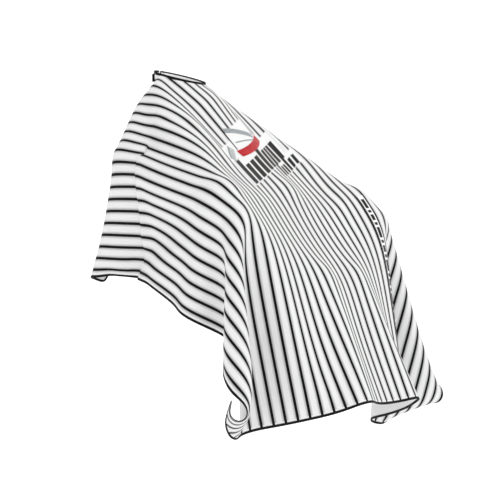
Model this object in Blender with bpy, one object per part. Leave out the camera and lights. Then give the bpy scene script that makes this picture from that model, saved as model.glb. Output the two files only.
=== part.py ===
"""Barber cape, draped over a seated wearer and closed at the nape with a snap tab.

Metres, +Z up. The origin is the middle of the neck opening. The wearer faces -Y, with the right
hand at -X. The cloth is a rectangle with a U shaped neck notch in its rear edge, so two rear
edges hang down the back. It rests on the shoulders, on two hands and on the knees.
"""

from math import cos, hypot, pi, radians, sin, tan

import bpy
from mathutils import Matrix, Vector

# Neck opening: an ellipse that leans forward.
NECK_HALF_WIDTH = 0.081
NECK_HALF_DEPTH = 0.065
NECK_TILT = radians(16)
NAPE_HALF_GAP = 0.004
UP = Vector((0, 0, 1))

# The collar is the ruled stretch of cloth right below the neck edge: upright at the nape,
# leaning out over the shoulders and the chest.
COLLAR_DEPTH = 0.034
COLLAR_LEAN = radians(50)
UPRIGHT_FROM = radians(148)
LEANING_FROM = radians(95)

# Cloth and trim.
PANEL_THICK = 0.0024
BINDING_RADIUS = 0.0025
BINDING_SIDES = 6
NECK_BINDING_RADIUS = 0.003
NECK_BINDING_SIDES = 8
NECK_STEPS = 48
TOUCH_GAP = 0.0003
BAND_HEIGHT = 0.022
BAND_THICK = 0.0016
BAND_GAP = 0.0005
STEPS_PER_RIB = 3
STEPS_PER_STATION = 4

# Ribs: lines of the cloth from the neck edge to the outer edge, on the wearer's left half.
# Each gives the turn round the neck in degrees from the front, and where it passes a quarter,
# half, three quarters and all of the way out.
RIBS = (
    # Centre front.
    (0, (0.000, -0.228, -0.192), (0.000, -0.374, -0.359), (0.000, -0.525, -0.600), (0.000, -0.626, -0.870)),
    # Inner leg.
    (28, (0.111, -0.221, -0.200), (0.195, -0.388, -0.362), (0.184, -0.517, -0.612), (0.180, -0.627, -0.870)),
    # Outer leg.
    (46, (0.179, -0.229, -0.191), (0.329, -0.415, -0.365), (0.300, -0.497, -0.632), (0.253, -0.534, -0.902)),
    # Hand.
    (58, (0.227, -0.235, -0.196), (0.391, -0.432, -0.372), (0.334, -0.452, -0.648), (0.285, -0.484, -0.915)),
    # Valley.
    (68, (0.257, -0.245, -0.207), (0.418, -0.433, -0.416), (0.374, -0.413, -0.677), (0.333, -0.411, -0.932)),
    # Side lobe.
    (77, (0.280, -0.247, -0.214), (0.446, -0.430, -0.451), (0.440, -0.447, -0.707), (0.430, -0.440, -0.930)),
    # Front corner.
    (86, (0.292, -0.232, -0.218), (0.447, -0.407, -0.470), (0.485, -0.465, -0.690), (0.520, -0.478, -0.858)),
    # Inner fold.
    (97, (0.280, -0.178, -0.204), (0.430, -0.327, -0.430), (0.474, -0.400, -0.625), (0.534, -0.455, -0.792)),
    # Side front.
    (110, (0.257, -0.119, -0.182), (0.392, -0.241, -0.372), (0.424, -0.326, -0.540), (0.420, -0.403, -0.714)),
    # Side middle.
    (124, (0.218, -0.049, -0.151), (0.356, -0.123, -0.308), (0.365, -0.198, -0.461), (0.407, -0.241, -0.626)),
    # Side rear.
    (140, (0.195, 0.024, -0.115), (0.303, -0.031, -0.257), (0.329, -0.076, -0.404), (0.293, -0.045, -0.533)),
    # Back.
    (158, (0.132, 0.069, -0.127), (0.218, 0.071, -0.258), (0.277, 0.067, -0.397), (0.270, 0.051, -0.536)),
    # Rear edge.
    (177.2, (0.098, 0.104, -0.135), (0.151, 0.107, -0.281), (0.170, 0.071, -0.421), (0.197, 0.114, -0.560)),
)

# Snap closure at the nape, by distance along the neck edge from the middle of the nape.
# Positive distances are on the wearer's left half.
CLOSURE_TOP = 0.005
CLOSURE_BOTTOM = 0.027
SNAP_DEPTH = 0.016
STUD_PLACES = (0.012, 0.025, 0.038, 0.051)
SOCKET_PLACES = STUD_PLACES[1:3]
STRIP_ENDS = (0.0055, 0.058)
ANCHOR_ENDS = (-0.046, -0.0292)
TAB_ENDS = (-0.028, 0.046)
STRIP_LEVELS = (0.0019, 0.0026)
ANCHOR_LEVELS = (0.0019, 0.0063)
TAB_LEVELS = (0.0062, 0.0076)
STUD_LEVEL = 0.0031
SOCKET_LEVEL = 0.0040
CAP_LEVEL = TAB_LEVELS[1] + 0.0005
POST_LEVEL = -0.0044
STRIP_STEPS = 6
ANCHOR_STEPS = 3
TAB_STEPS = 9
LATHE_SEGMENTS = 16

# Profiles of the snap pieces: radius and height, from the bottom up. The socket is a ring.
STUD_PROFILE = (
    (0, 0), (0.0055, 0), (0.0055, 0.0005), (0.0024, 0.0007), (0.0018, 0.0011), (0.0021, 0.0016),
    (0.0015, 0.0021), (0, 0.0021),
)
POST_PROFILE = ((0, 0), (0.0035, 0), (0.0055, 0.0004), (0.0055, 0.0008), (0, 0.0008))
CAP_PROFILE = ((0, 0), (0.0060, 0), (0.0060, 0.0006), (0.0050, 0.0012), (0.0035, 0.0015), (0, 0.0015))
SOCKET_PROFILE = ((0.0032, 0), (0.0053, 0), (0.0055, 0.0004), (0.0055, 0.0016), (0.0032, 0.0016))

# Side tape and chest emblem, by place on the cloth's ribs and stations.
TAPE_RIBS = (2, 2 + 1 / 3)
TAPE_STATIONS = (3, 4.75)
EMBLEM_RIBS = (-2 / 3, 1)
EMBLEM_STATIONS = (1.75, 2.5)
TAPE_THICK = 0.0008
EMBLEM_THICK = 0.0006
PATCH_CLEARANCE = 0.0005

# Colours and finishes: base colour, roughness, metallic.
FINISHES = {
    "striped_cloth": ((0.90, 0.90, 0.90, 1), 0.75, 0.0),
    "black_tape": ((0.015, 0.015, 0.016, 1), 0.7, 0.0),
    "white_tape": ((0.82, 0.82, 0.82, 1), 0.8, 0.0),
    "emblem_print": ((0.50, 0.02, 0.03, 1), 0.5, 0.0),
    "snap_metal": ((0.60, 0.60, 0.62, 1), 0.3, 1.0),
}


def clear_scene():
    for thing in list(bpy.data.objects):
        bpy.data.objects.remove(thing)


def make_finish(name):
    colour, roughness, metallic = FINISHES[name]
    made = bpy.data.materials.new(name)
    made.use_nodes = True
    shader = made.node_tree.nodes["Principled BSDF"]
    shader.inputs["Base Color"].default_value = colour
    shader.inputs["Roughness"].default_value = roughness
    shader.inputs["Metallic"].default_value = metallic
    return made


def make_node(name, verts, faces, finish, parent=None, origin=None):
    """One mesh object. Its vertices are world positions, whatever its origin is."""
    origin = origin or Vector((0, 0, 0))
    mesh = bpy.data.meshes.new(name)
    mesh.from_pydata([v - origin for v in verts], [], faces)
    mesh.shade_smooth()
    mesh.set_sharp_from_angle(angle=radians(40))
    node = bpy.data.objects.new(name, mesh)
    node.location = origin
    bpy.context.scene.collection.objects.link(node)
    mesh.materials.append(make_finish(finish))
    if parent:
        node.parent = parent
        node.location = origin - parent.location
    return node


def neck_point(turn):
    """Point of the neck edge. turn runs from 0 at the front to pi at the nape, positive to the left."""
    x = NECK_HALF_WIDTH * sin(turn)
    y = -NECK_HALF_DEPTH * cos(turn)
    return Vector((x, y, y * tan(NECK_TILT)))


def neck_outward(turn):
    return Vector((sin(turn) / NECK_HALF_WIDTH, -cos(turn) / NECK_HALF_DEPTH, 0)).normalized()


def smooth_step(t):
    """0 to 1 with flat ends."""
    t = min(max(t, 0), 1)
    return t * t * (3 - 2 * t)


def collar_down(turn):
    """Direction of the collar's straight line down from the neck edge."""
    lean = COLLAR_LEAN * smooth_step((UPRIGHT_FROM - abs(turn)) / (UPRIGHT_FROM - LEANING_FROM))
    return neck_outward(turn) * sin(lean) - UP * cos(lean)


def collar_face(turn):
    """Direction out of the collar, square to it at the depth of the snaps."""
    ends = [neck_point(t) + collar_down(t) * SNAP_DEPTH for t in (turn - 0.001, turn + 0.001)]
    return collar_down(turn).cross(ends[1] - ends[0]).normalized()


def on_collar(turn, depth, level):
    """Point at a depth below the neck edge and a level out of the cloth's middle."""
    return neck_point(turn) + collar_down(turn) * depth + collar_face(turn) * level


def turn_at(distance):
    """Turn at a signed distance along the neck edge from the nape, towards the wearer's left."""
    step = 0.0005
    count = round(abs(distance) / step)
    turn = pi
    for _ in range(count):
        turn -= step / hypot(NECK_HALF_WIDTH * cos(turn), NECK_HALF_DEPTH * sin(turn))
    turn -= (abs(distance) - count * step) / NECK_HALF_WIDTH
    return turn if distance >= 0 else 2 * pi - turn


def closure_point(distance, depth, level):
    """on_collar by distance from the nape. The right half mirrors the left one."""
    point = on_collar(turn_at(abs(distance)), depth, level)
    if distance < 0:
        point.x = -point.x
    return point


def curve_between(before, start, end, after, t):
    """Catmull-Rom curve from start to end."""
    return 0.5 * (
        2 * start
        + (end - before) * t
        + (2 * before - 5 * start + 4 * end - after) * t * t
        + (3 * start - before - 3 * end + after) * t * t * t
    )


def curve_at(points, place):
    """Point of the smooth curve through points, where place counts along them."""
    first = min(int(place), len(points) - 2)
    before = points[first - 1] if first > 0 else 2 * points[0] - points[1]
    last = first + 2
    after = points[last] if last < len(points) else 2 * points[-1] - points[-2]
    return curve_between(before, points[first], points[first + 1], after, place - first)


def rib_turn(place):
    """Turn round the neck at a place among the ribs, negative on the right half."""
    first = min(int(abs(place)), len(RIBS) - 2)
    share = abs(place) - first
    turn = RIBS[first][0] * (1 - share) + RIBS[first + 1][0] * share
    return radians(turn) if place >= 0 else -radians(turn)


def station_points(station):
    """The landmarks of one station, from the rear right edge round the front to the rear left one."""
    left = [Vector(rib[1 + station]) for rib in RIBS]
    right = [Vector((-p.x, p.y, p.z)) for p in reversed(left[1:])]
    return right + left


def rib_line(place):
    """The points of the cloth line at a place among the ribs: neck edge, collar, then the stations."""
    turn = rib_turn(place)
    line = [neck_point(turn), on_collar(turn, COLLAR_DEPTH, 0)]
    across = place + len(RIBS) - 1
    return line + [curve_at(station_points(station), across) for station in range(4)]


def cloth_point(place, station):
    """Point of the cloth. station 0 is the neck edge, 1 the collar's lower edge, and 5 the outer edge."""
    line = rib_line(place)
    if station <= 1:
        return line[0].lerp(line[1], station)
    return curve_at(line, station)


def spread(start, end, steps):
    return [start + (end - start) * i / steps for i in range(steps + 1)]


def sheet_between(grid_outer, grid_inner):
    """Vertices and faces of the closed sheet between two grids of points of the same size."""
    rows, columns = len(grid_outer), len(grid_outer[0])
    verts = [p for row in grid_outer for p in row] + [p for row in grid_inner for p in row]
    inner = rows * columns

    def at(row, column):
        return row * columns + column

    faces = []
    for r in range(rows - 1):
        for c in range(columns - 1):
            corners = (at(r, c), at(r + 1, c), at(r + 1, c + 1), at(r, c + 1))
            for half in (corners[:3], (corners[0], *corners[2:])):
                faces.append(half)
                faces.append(tuple(inner + v for v in reversed(half)))
    rim = [at(r, 0) for r in range(rows)]
    rim += [at(rows - 1, c) for c in range(1, columns)]
    rim += [at(r, columns - 1) for r in range(rows - 2, -1, -1)]
    rim += [at(0, c) for c in range(columns - 2, 0, -1)]
    for a, b in zip(rim, rim[1:] + rim[:1]):
        faces.append((b, a, inner + a, inner + b))
    return verts, faces


def make_main_panel():
    """The draped cloth, one closed sheet."""
    last = len(RIBS) - 1
    places = spread(-last, last, 2 * last * STEPS_PER_RIB)
    stations = [0] + spread(1, 5, 4 * STEPS_PER_STATION)
    middle = [[cloth_point(a, s) for a in places] for s in stations]
    normals = grid_normals(middle)
    half = PANEL_THICK / 2
    outer = [[p + n * half for p, n in zip(row, ns)] for row, ns in zip(middle, normals)]
    inner = [[p - n * half for p, n in zip(row, ns)] for row, ns in zip(middle, normals)]
    verts, faces = sheet_between(outer, inner)
    make_node("main_panel", verts, faces, "striped_cloth")
    return middle, normals


def grid_normals(grid):
    """Normals at the points of a grid, from their neighbours."""
    rows, columns = len(grid), len(grid[0])
    normals = []
    for r in range(rows):
        line = []
        for c in range(columns):
            along = grid[r][min(c + 1, columns - 1)] - grid[r][max(c - 1, 0)]
            down = grid[min(r + 1, rows - 1)][c] - grid[max(r - 1, 0)][c]
            line.append(down.cross(along).normalized())
        normals.append(line)
    return normals


def outline_of(grid, normals):
    """Outer edge of the cloth, from one nape corner round to the other: point, mitred way out, normal."""
    rows, columns = len(grid), len(grid[0])
    edge = [(r, 0) for r in range(1, rows)]
    edge += [(rows - 1, c) for c in range(1, columns)]
    edge += [(r, columns - 1) for r in range(rows - 2, 0, -1)]
    points = [grid[r][c] for r, c in edge]
    faces = [normals[r][c] for r, c in edge]
    inside = [grid[min(r, rows - 2)][min(max(c, 1), columns - 2)] for r, c in edge]
    ways = []
    for i in range(len(edge) - 1):
        along = (points[i + 1] - points[i]).normalized()
        way = along.cross(faces[i] + faces[i + 1]).normalized()
        outward = points[i] + points[i + 1] - inside[i] - inside[i + 1]
        ways.append(way if way.dot(outward) > 0 else -way)
    found = []
    for point, face, before, after in zip(points, faces, ways[:1] + ways, ways + ways[-1:]):
        found.append((point, (before + after) / (1 + before.dot(after)), face))
    return found


def tube_along(rings):
    """Vertices and faces of a closed tube through rings of points."""
    sides = len(rings[0])
    verts = [p for ring in rings for p in ring]
    faces = []
    for i in range(len(rings) - 1):
        for k in range(sides):
            after = (k + 1) % sides
            a, b = i * sides + k, i * sides + after
            faces.append((a, b, b + sides, a + sides))
    faces.append(tuple(range(sides - 1, -1, -1)))
    end = (len(rings) - 1) * sides
    faces.append(tuple(range(end, end + sides)))
    return verts, faces


def make_hem_binding(grid, normals):
    """Tape along the rear edges and the hem, just outside the cloth's edge."""
    rings = []
    for point, out, normal in outline_of(grid, normals):
        centre = point + out * (BINDING_RADIUS + TOUCH_GAP)
        angles = [2 * pi * (k + 0.5) / BINDING_SIDES for k in range(BINDING_SIDES)]
        rings.append([centre + (out * cos(a) - normal * sin(a)) * BINDING_RADIUS for a in angles])
    verts, faces = tube_along(rings)
    make_node("hem_binding", verts, faces, "black_tape")


def neck_turns(count):
    """Turns all round the neck edge, from one side of the nape gap to the other."""
    end = turn_at(NAPE_HALF_GAP)
    return spread(-end, end, count)


def make_neck_binding():
    """Tape on top of the neck edge."""
    rings = []
    for turn in neck_turns(NECK_STEPS):
        outward = neck_outward(turn)
        centre = neck_point(turn) + UP * (NECK_BINDING_RADIUS + PANEL_THICK / 2 + TOUCH_GAP)
        angles = [2 * pi * k / NECK_BINDING_SIDES for k in range(NECK_BINDING_SIDES)]
        rings.append([centre + (outward * cos(a) - UP * sin(a)) * NECK_BINDING_RADIUS for a in angles])
    verts, faces = tube_along(rings)
    make_node("neck_binding", verts, faces, "black_tape")


def make_neck_band():
    """Facing inside the neck edge, upright all round."""
    outer_level = -PANEL_THICK / 2 - BAND_GAP
    grids = []
    for level in (outer_level, outer_level - BAND_THICK):
        rows = []
        for depth in (TOUCH_GAP, BAND_HEIGHT):
            rows.append([neck_point(t) + neck_outward(t) * level - UP * depth for t in neck_turns(NECK_STEPS)])
        grids.append(rows)
    verts, faces = sheet_between(*grids)
    make_node("neck_band", verts, faces, "white_tape")


def cloth_patch(name, grid, normals, ribs, stations, thick, finish):
    """A thin piece on the cloth's outer face, between two ribs and two stations of its grid."""
    first, last = (round((rib + len(RIBS) - 1) * STEPS_PER_RIB) for rib in ribs)
    top, bottom = (round((station - 1) * STEPS_PER_STATION) + 1 for station in stations)
    lowest = PANEL_THICK / 2 + PATCH_CLEARANCE
    grids = []
    for level in (lowest + thick, lowest):
        rows = []
        for r in range(top, bottom + 1):
            rows.append([grid[r][c] + normals[r][c] * level for c in range(first, last + 1)])
        grids.append(rows)
    verts, faces = sheet_between(*grids)
    make_node(name, verts, faces, finish)


def closure_sheet(name, ends, levels, steps, finish, parent=None, origin=None):
    """A curved strip of the closure that follows the collar."""
    grids = []
    for level in reversed(levels):
        rows = []
        for depth in (CLOSURE_TOP, CLOSURE_BOTTOM):
            rows.append([closure_point(d, depth, level) for d in spread(*reversed(ends), steps)])
        grids.append(rows)
    verts, faces = sheet_between(*grids)
    return make_node(name, verts, faces, finish, parent, origin)


def lathe(profile):
    """Vertices and faces of a turned solid, its profile given from the axis at the bottom up."""
    verts, faces = [], []
    rings = []
    for radius, height in profile:
        if radius == 0:
            rings.append([len(verts)])
            verts.append(Vector((0, 0, height)))
            continue
        rings.append(list(range(len(verts), len(verts) + LATHE_SEGMENTS)))
        for k in range(LATHE_SEGMENTS):
            angle = 2 * pi * k / LATHE_SEGMENTS
            verts.append(Vector((radius * cos(angle), radius * sin(angle), height)))
    for low, high in zip(rings, rings[1:]):
        for k in range(LATHE_SEGMENTS):
            after = (k + 1) % LATHE_SEGMENTS
            if len(low) == 1:
                faces.append((low[0], high[after], high[k]))
            elif len(high) == 1:
                faces.append((low[k], low[after], high[0]))
            else:
                faces.append((low[k], low[after], high[after], high[k]))
    return verts, faces


def ring_lathe(profile):
    """As lathe, for a ring: the profile is closed and doesn't meet the axis."""
    verts, faces = [], []
    for radius, height in profile:
        for k in range(LATHE_SEGMENTS):
            angle = 2 * pi * k / LATHE_SEGMENTS
            verts.append(Vector((radius * cos(angle), radius * sin(angle), height)))
    for i in range(len(profile)):
        low, high = i * LATHE_SEGMENTS, ((i + 1) % len(profile)) * LATHE_SEGMENTS
        for k in range(LATHE_SEGMENTS):
            after = (k + 1) % LATHE_SEGMENTS
            faces.append((low + k, low + after, high + after, high + k))
    return verts, faces


def make_turned(name, profile, distance, level, ring=False, parent=None, inward=False):
    """A turned piece of a snap, standing on the collar with its axis out of the cloth."""
    verts, faces = ring_lathe(profile) if ring else lathe(profile)
    face = collar_face(turn_at(distance))
    if inward:
        face = -face
    centre = closure_point(distance, SNAP_DEPTH, level)
    place = Matrix.Translation(centre) @ face.to_track_quat("Z", "Y").to_matrix().to_4x4()
    return make_node(name, [place @ v for v in verts], faces, "snap_metal", parent, centre)


def make_snaps(hinge):
    for number, distance in enumerate(STUD_PLACES, 1):
        make_turned(f"snap_stud_{number}", STUD_PROFILE, distance, STUD_LEVEL)
        make_turned(f"snap_post_{number}", POST_PROFILE, distance, POST_LEVEL, inward=True)
    for number, distance in enumerate(SOCKET_PLACES, 1):
        make_turned(f"snap_socket_{number}", SOCKET_PROFILE, distance, SOCKET_LEVEL, ring=True, parent=hinge)
        make_turned(f"snap_cap_{number}", CAP_PROFILE, distance, CAP_LEVEL, parent=hinge)


def make_hinge():
    """Empty on the fold line of the closure tab. The tab turns about Z through it."""
    hinge = bpy.data.objects.new("tab_hinge", None)
    hinge.location = closure_point(TAB_ENDS[0], SNAP_DEPTH, sum(TAB_LEVELS) / 2)
    bpy.context.scene.collection.objects.link(hinge)
    return hinge


def main():
    clear_scene()
    grid, normals = make_main_panel()
    make_hem_binding(grid, normals)
    make_neck_binding()
    make_neck_band()
    cloth_patch("side_tape", grid, normals, TAPE_RIBS, TAPE_STATIONS, TAPE_THICK, "white_tape")
    cloth_patch("chest_emblem", grid, normals, EMBLEM_RIBS, EMBLEM_STATIONS, EMBLEM_THICK, "emblem_print")
    closure_sheet("stud_strip", STRIP_ENDS, STRIP_LEVELS, STRIP_STEPS, "white_tape")
    closure_sheet("tab_anchor", ANCHOR_ENDS, ANCHOR_LEVELS, ANCHOR_STEPS, "black_tape")
    hinge = make_hinge()
    closure_sheet("closure_tab", TAB_ENDS, TAB_LEVELS, TAB_STEPS, "black_tape", hinge, hinge.location)
    make_snaps(hinge)


main()
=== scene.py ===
"""Looks of the barber cape: the cloth is draped by simulation, and its trim and print lie on it.

Metres, +Z up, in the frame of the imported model. The wearer faces -Y. The cloth is a rectangle with
a U shaped neck notch in its rear edge. A place on it is (u, v): u across, from -0.70 on the
wearer's right to +0.70, and v from the rear edge to the front hem. The stripes run along v.
"""

from math import cos, hypot, pi, radians, sin, tan

import bmesh
import bpy
import numpy as np
from mathutils import Matrix, Vector
from mathutils.bvhtree import BVHTree


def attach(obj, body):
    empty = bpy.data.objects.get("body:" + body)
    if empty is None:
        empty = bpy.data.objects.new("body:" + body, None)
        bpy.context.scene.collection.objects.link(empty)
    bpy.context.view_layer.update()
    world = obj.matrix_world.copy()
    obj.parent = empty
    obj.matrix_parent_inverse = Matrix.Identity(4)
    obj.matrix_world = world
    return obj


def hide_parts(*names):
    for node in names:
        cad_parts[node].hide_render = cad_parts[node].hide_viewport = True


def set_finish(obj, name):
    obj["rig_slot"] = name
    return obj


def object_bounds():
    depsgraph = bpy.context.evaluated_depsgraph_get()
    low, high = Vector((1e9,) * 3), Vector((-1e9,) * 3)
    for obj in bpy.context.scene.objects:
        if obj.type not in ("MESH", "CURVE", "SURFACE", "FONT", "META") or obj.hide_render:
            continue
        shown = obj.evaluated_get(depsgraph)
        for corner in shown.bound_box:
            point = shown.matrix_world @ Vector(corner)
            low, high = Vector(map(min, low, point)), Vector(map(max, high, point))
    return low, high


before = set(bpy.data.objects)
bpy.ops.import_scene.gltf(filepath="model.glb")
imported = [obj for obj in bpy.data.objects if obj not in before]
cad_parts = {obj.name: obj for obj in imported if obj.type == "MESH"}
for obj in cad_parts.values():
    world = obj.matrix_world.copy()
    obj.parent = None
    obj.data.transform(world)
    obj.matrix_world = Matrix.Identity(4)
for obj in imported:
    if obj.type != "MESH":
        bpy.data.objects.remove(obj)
cad_low, cad_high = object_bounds()

# The cloth's cut.
CLOTH_WIDTH = 1.40
CLOTH_LENGTH = 1.19
NOTCH_HALF_WIDTH = 0.095
NOTCH_DEPTH = 0.185
NOTCH_CENTRE = NOTCH_DEPTH - NOTCH_HALF_WIDTH
CLOTH_THICK = 0.0006

# The neck edge and the collar, as the CAD model has them.
NECK_HALF_WIDTH = 0.081
NECK_HALF_DEPTH = 0.065
NECK_TILT = radians(16)
NECK_END = radians(177.2)
SNAP_DEPTH = 0.016
STUD_PLACES = (0.012, 0.025, 0.038, 0.051)
SOCKET_PLACES = STUD_PLACES[1:3]

# Stripes.
STRIPE_PITCH = 0.03125
FIRST_STRIPE = 0.64 * STRIPE_PITCH
STRIPE_WIDTH = 0.0070

# The pleat that hangs from each shoulder: a wedge of cloth folded away behind the front part.
# Places are v at the hem. Between the two columns of a fold the cloth runs back on itself.
PLEAT_TOP = 0.25
PLEAT_START = 0.22
PLEAT_BACK = 0.26
PLEAT_FRONT = 0.36
PLEAT_OPEN = 0.35
PLEAT_GAP = 0.005
PLEAT_TUCK = 0.003
PLEAT_PULL = 0.5
PLEAT_SLACK = 0.3
PLEAT_LEAST = 0.012
PLEAT_BLEND = 0.18
PLEAT_OUTWARD = (0.89, 0.45, 0)
FOLD_CELL = 0.010
PLEAT_PLACE = 0.225
PLEAT_COLUMNS = 8
# Its hidden columns: which one, between which two, how far along, and how far out in tucks.
TUCKED_COLUMNS = ((6, 5, 7, 0.25, 0.5), (4, 2, 5, 0.8, -1), (3, 2, 5, 0.2, -0.5), (1, 0, 2, 0.7, 0))

# The collar by the nape: how far it hangs flat and where that ends, as depth and distance along the edge.
COLLAR_FLAT = (0.032, 0.065)
COLLAR_FADE = (0.095, 0.125)
COLLAR_END = 0.004

# Simulation.
COARSE_CELL = 0.025
COARSE_STEPS = 2500
TIME_STEP = 1 / 400
CLOTH_MARGIN = 0.004
GRAVITY = 9.81
DAMPING = 0.996
FRICTION = 0.3
SHEAR_GIVE = 2e-6
BEND_GIVE = 2e-5
NECK_STEPS = 400
HOLD_STEPS = 600


# --- neck and collar


def neck_point(turn):
    """Point of the neck edge. turn runs from 0 at the front to pi at the nape, positive to the left."""
    x = NECK_HALF_WIDTH * sin(turn)
    y = -NECK_HALF_DEPTH * cos(turn)
    return Vector((x, y, y * tan(NECK_TILT)))


def neck_outward(turn):
    return Vector((sin(turn) / NECK_HALF_WIDTH, -cos(turn) / NECK_HALF_DEPTH, 0)).normalized()


def turn_at(distance):
    """Turn at a signed distance along the neck edge from the nape, towards the wearer's left."""
    step = 0.0005
    count = round(abs(distance) / step)
    turn = pi
    for _ in range(count):
        turn -= step / hypot(NECK_HALF_WIDTH * cos(turn), NECK_HALF_DEPTH * sin(turn))
    turn -= (abs(distance) - count * step) / NECK_HALF_WIDTH
    return turn if distance >= 0 else 2 * pi - turn


def nape_point(distance, depth, level):
    """Point of the collar near the nape, where it hangs straight down: depth below, level out."""
    turn = turn_at(distance)
    return neck_point(turn) - Vector((0, 0, depth)) + nape_face(distance) * level


def nape_face(distance):
    """Direction out of the collar near the nape, square to it at the depth of the snaps."""
    turn = turn_at(distance)
    across = neck_point(turn + 0.001) - neck_point(turn - 0.001)
    return Vector((0, 0, -1)).cross(across).normalized()


# --- the flat cloth


def pleat_width(u):
    """Width of one of the pleat's layers at a distance u from the middle of the cloth."""
    share = np.clip((np.abs(u) - PLEAT_TOP) / (CLOTH_WIDTH / 2 - PLEAT_TOP), 0, 1)
    return np.maximum(0.5 * (PLEAT_FRONT - PLEAT_BACK) * share, PLEAT_LEAST)


def pleat_columns(u):
    """Places v of the eight grid columns of the pleat, for each u, from its back to beyond its front."""
    share = np.clip((np.abs(u) - PLEAT_TOP) / (CLOTH_WIDTH / 2 - PLEAT_TOP), 0, 1)
    middle = PLEAT_START + (0.5 * (PLEAT_FRONT + PLEAT_BACK) - PLEAT_START) * share
    width = pleat_width(u)
    small = np.minimum(FOLD_CELL, width / 3)
    return np.stack([
        middle - width, middle - small, middle, middle + small,
        middle + width - small, middle + width, middle + width + small, middle + 2 * width], 1)


def cut_cloth(cell):
    """Points (u, v) of the flat cloth on a grid, the grid of their numbers, and which are on the notch."""
    across = round(CLOTH_WIDTH / cell)
    down = round(CLOTH_LENGTH / cell)
    u, v = np.meshgrid(
        np.linspace(-CLOTH_WIDTH / 2, CLOTH_WIDTH / 2, across + 1),
        np.linspace(0, CLOTH_LENGTH, down + 1), indexing="ij")
    first = round(PLEAT_PLACE / cell)
    last = first + PLEAT_COLUMNS - 1
    wanted = pleat_columns(u[:, 0])
    blend = np.clip((np.abs(u[:, 0]) - PLEAT_BLEND) / (PLEAT_TOP - PLEAT_BLEND), 0, 1)
    blend = (blend**2 * (3 - 2 * blend))[:, None]
    plain = v.copy()
    v[:, first:last + 1] = plain[:, first:last + 1] * (1 - blend) + wanted * blend
    for i in range(len(v)):
        v[i, :first] = np.linspace(0, v[i, first], first + 1)[:-1]
        v[i, last + 1:] = np.linspace(v[i, last], CLOTH_LENGTH, down + 1 - last)[1:]
    in_arc = v > NOTCH_CENTRE
    way_u = np.where(in_arc, u, np.sign(u))
    way_v = np.where(in_arc, v - NOTCH_CENTRE, 0)
    length = np.hypot(way_u, way_v) + 1e-12
    beyond = np.where(in_arc, length, np.abs(u)) - NOTCH_HALF_WIDTH
    near = np.abs(beyond) <= cell / 2
    keep = beyond > -cell / 2
    u = np.where(near, u - way_u / length * beyond, u)
    v = np.where(near, v - way_v / length * beyond, v)
    index = np.full(u.shape, -1)
    index[keep] = np.arange(keep.sum())
    return np.stack([u[keep], v[keep]], 1), index, near[keep]


def notch_share(flat):
    """How far round the notch each of its points is: -1 at its right end, 0 in front, 1 at its left end."""
    u, v = flat[:, 0], flat[:, 1]
    quarter = NOTCH_HALF_WIDTH * pi / 2
    arc = np.where(
        v > NOTCH_CENTRE, NOTCH_HALF_WIDTH * np.arctan2(u, v - NOTCH_CENTRE),
        np.sign(u) * (quarter + NOTCH_CENTRE - v))
    return arc / (quarter + NOTCH_CENTRE)


# --- what holds the cloth up


class Limb:
    """A tapered round limb. With a low, it is a wall that reaches straight down to that height."""

    def __init__(self, start, end, start_radius, end_radius, low=None):
        self.start, self.end = np.array(start), np.array(end)
        self.start_radius, self.end_radius, self.low = start_radius, end_radius, low

    def push(self, points):
        """Moves the points inside the limb out to its skin, and returns which they were."""
        way = self.end - self.start
        flat = slice(0, 2 if self.low is not None else 3)
        share = (points - self.start)[:, flat] @ way[flat] / (way[flat] @ way[flat])
        share = np.clip(share, 0, 1)
        core = self.start + share[:, None] * way
        if self.low is not None:
            core[:, 2] = np.clip(points[:, 2], self.low, core[:, 2])
        off = points - core
        far = np.linalg.norm(off, axis=1) + 1e-12
        radius = self.start_radius + (self.end_radius - self.start_radius) * share + CLOTH_MARGIN
        hit = far < radius
        points[hit] = core[hit] + off[hit] * (radius[hit] / far[hit])[:, None]
        return hit


def both_sides(start, end, start_radius, end_radius, low=None):
    """The limb given on the wearer's left, and its mirror image on the right."""
    right = [(-x, y, z) for x, y, z in (start, end)]
    return [
        Limb(start, end, start_radius, end_radius, low),
        Limb(*right, start_radius, end_radius, low),
    ]


SHOULDER = (0.132, 0.012, -0.124)
ELBOW = (0.241, 0.010, -0.229)
FOREARM = (0.197, -0.013, -0.324)
HAND = (0.359, -0.332, -0.349)
HIP = (0.088, -0.190, -0.528)
KNEE = (0.090, -0.449, -0.563)
FOOT = (0.149, -0.658, -1.012)


def seated_wearer():
    """The unseen wearer, as limbs."""
    limbs = [
        Limb((0, 0, -0.05), (0, 0.040, -0.208), 0.055, 0.072),
        Limb((0, 0.04, -0.20), (0, 0.04, -0.50), 0.13, 0.13),
        Limb((0, -0.105, -0.168), (0, -0.275, -0.357), 0.123, 0.087, -0.6),
    ]
    limbs += both_sides((0.04, 0.01, -0.07), SHOULDER, 0.045, 0.052, -0.5)
    limbs += both_sides(SHOULDER, ELBOW, 0.052, 0.045, -0.5)
    limbs += both_sides(FOREARM, HAND, 0.040, 0.061, -0.5)
    limbs += both_sides(HIP, KNEE, 0.070, 0.030, -0.7)
    limbs += both_sides(KNEE, FOOT, 0.065, 0.050)
    return limbs


# Places of the left half that the wearer or the chair keeps: (u, v), where to, and how firmly.
HOLDS = (
    ((0.38, 0.636), (0.423, -0.480, -0.340), 0.370),
    ((0.70, CLOTH_LENGTH), (0.507, -0.469, -0.795), 0.033),
    ((0.70, 0.0), (0.09, 0.10, -0.600), 0.005),
    ((0.70, 0.15), (0.245, 0.125, -0.555), 0.06),
    ((0.70, PLEAT_FRONT), (0.25, 0.02, -0.513), 0.06),
)


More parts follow.
